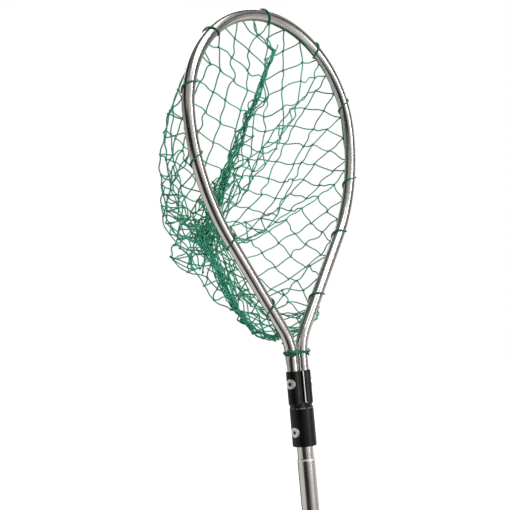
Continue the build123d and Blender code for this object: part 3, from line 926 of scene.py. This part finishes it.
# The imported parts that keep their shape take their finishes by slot.
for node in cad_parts.values():
    for place in node.material_slots:
        place.material = cadFinishes[place.material.name.split(".")[0]]
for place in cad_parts["lower_handle_tube"].material_slots:
    place.material = aluminiumFinish("mouthAluminium", mouth=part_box("lower_handle_tube")[1].z)
print("packed parts finished")

# Camera, lights and floor
studioValues = {
    "turn": -43.03, "tilt": -4.65, "roll": 4.99, "distance": 1.036, "lens": 60.63,
    "aside": -0.039, "below": -0.0582, "aim": 0.200, "warm": (1.0, 0.955, 0.915),
    # the room that the tubes mirror: its walls, its ceiling and the height where that dims, its dimmest
    # tone, and bright panels as (middle, width, strength)
    "walls": 0.50, "ceiling": 0.55, "ceilingDark": 0.7, "dim": 0.02, "panels": ((0.52, 0.16, 0.6),),
    "sky": 1.0,
    # dark cards: where across, how wide, how near, how high and how dark each is
    "cards": ((-0.78, 0.20, -0.3, 9.0, 1.0), (0.90, 0.10, -0.5, 9.0, 0.9), (-0.32, 0.36, 0.3, 0.35, 1.0)),
    # the floor: its half width, how far below the handle it lies, its tone, what the tubes mirror of it,
    # and the bands in that as (bearing, width, change)
    "floorReach": 6.0, "floorGap": 0.0005, "floor": 0.92, "floorMirrored": 0.33,
    "floorBands": ((-0.34, 0.50, -0.60), (0.74, 0.30, 0.60), (-0.94, 0.25, 0.60)),
    # each light: how far round from the front, how high, how far, its size and its power
    "lights": ((18, 12, 1.7, (0.22, 1.7), 14), (-10, 58, 1.9, (1.2, 1.2), 14),
        (150, 45, 1.8, (1.2, 1.2), 16)),
}
aim = Vector((0, 0, yokeTop + studioValues["aim"]))


def direction(turn, lift):
    # turned from the front by one angle and lifted by the other
    return Vector((sin(turn) * cos(lift), -cos(turn) * cos(lift), sin(lift)))


def makeCamera():
    v = studioValues
    turn, tilt, roll = (radians(v[name]) for name in ("turn", "tilt", "roll"))
    back, right = direction(turn, tilt), Vector((cos(turn), sin(turn), 0))
    up = back.cross(right)
    camera = bpy.data.objects.new("camera", bpy.data.cameras.new("camera"))
    camera.data.lens, camera.data.sensor_width = v["lens"], 36
    camera.data.clip_start, camera.data.clip_end = 0.01, 50
    place = aim + back * v["distance"] + right * v["aside"] + up * v["below"]
    axes = (right * cos(roll) - up * sin(roll), right * sin(roll) + up * cos(roll), back)
    camera.matrix_world = Matrix.Translation(place) @ Matrix(axes).transposed().to_4x4()
    bpy.context.scene.collection.objects.link(camera)
    bpy.context.scene.camera = camera
    return right, back


def makeRoom(right, back):
    # white where the camera looks, and in what the tubes mirror pale walls with dark cards before them
    v = studioValues
    world = bpy.data.worlds.new("paleStudio")
    world.use_nodes = True
    room, shade = Nodes(world.node_tree), world.node_tree.nodes["Background"]
    x, y, z = room.axes(room.add("ShaderNodeTexCoord"))
    aside, front = x * right.x + y * right.y, x * back.x + y * back.y
    # a card stands upright at one side, on the near half of the room
    dark = sum(aside.band(middle, width, 3.0) * z.band(0.0, high, 3.0) * front.step(nearer, 6.0) * strength
        for middle, width, nearer, high, strength in v["cards"])
    dark = dark + z.step(v["ceiling"], 4.0) * v["ceilingDark"]
    bright = sum(aside.band(middle, width, 3.0) * front.step(0.0, 6.0) * strength
        for middle, width, strength in v["panels"])
    light = (1 - dark.clip(0, 1 - v["dim"])) * v["walls"] + bright
    lit = room.mix(light.clip(), (0.0, 0.0, 0.0), v["warm"])
    seen = room.add("ShaderNodeLightPath")
    setSocket(room.tree, shade.inputs["Color"], room.mix(seen, lit, (1.0, 1.0, 1.0)))
    setSocket(room.tree, shade.inputs["Strength"], v["sky"])
    bpy.context.scene.world = world


def makeLights():
    for turn, lift, far, size, power in studioValues["lights"]:
        lamp = bpy.data.objects.new("softbox", bpy.data.lights.new("softbox", "AREA"))
        lamp.data.shape, lamp.data.size, lamp.data.size_y, lamp.data.energy = "RECTANGLE", *size, power
        way = direction(radians(turn), radians(lift))
        facing = way.to_track_quat("Z", "Y").to_matrix().to_4x4()
        lamp.matrix_world = Matrix.Translation(aim + way * far) @ facing
        bpy.context.scene.collection.objects.link(lamp)


def makeFloor(right):
    # the floor glows to the camera, to melt into the room, and stays dim in what the tubes mirror
    v = studioValues
    pale = Finish("paleFloor", Roughness=0.9, Specular_IOR_Level=0.1, Emission_Strength=0.9)
    grain, seen = pale.noise(pale.place(), 30.0), pale.add("ShaderNodeLightPath")
    x, y = pale.axes(pale.place())[:2]
    # bearing is 0 straight towards the camera and 1 a quarter turn to the right of it
    bearing = (x * right.x + y * right.y) / ((x * x + y * y) ** 0.5 + 0.001)
    tone = v["floorMirrored"]
    for middle, width, change in v["floorBands"]:
        tone = bearing.band(middle, width, 2.5) * change + tone
    base = pale.mix(grain, (v["floor"] - 0.02,) * 3, (v["floor"],) * 3)
    glow = pale.mix(tone.clip(), (0.0, 0.0, 0.0), v["warm"])
    pale.set(Base_Color=pale.mix(seen, (0.05, 0.05, 0.05), base))
    pale.set(Emission_Color=pale.mix(seen, glow, (1.0, 1.0, 1.0)))
    corners = np.array([[-1, -1], [1, -1], [1, 1], [-1, 1]]) * v["floorReach"]
    height = np.full((4, 1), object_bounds()[0].z - v["floorGap"])
    floor = makePiece("floor", np.concatenate([corners, height], 1), [np.array([[0, 1, 2, 3]])], [corners],
        pale.material)
    floor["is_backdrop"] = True


right, back = makeCamera()
makeRoom(right, back)
makeLights()
makeFloor(right)
bpy.context.scene.view_settings.view_transform = "Standard"
print("studio made")
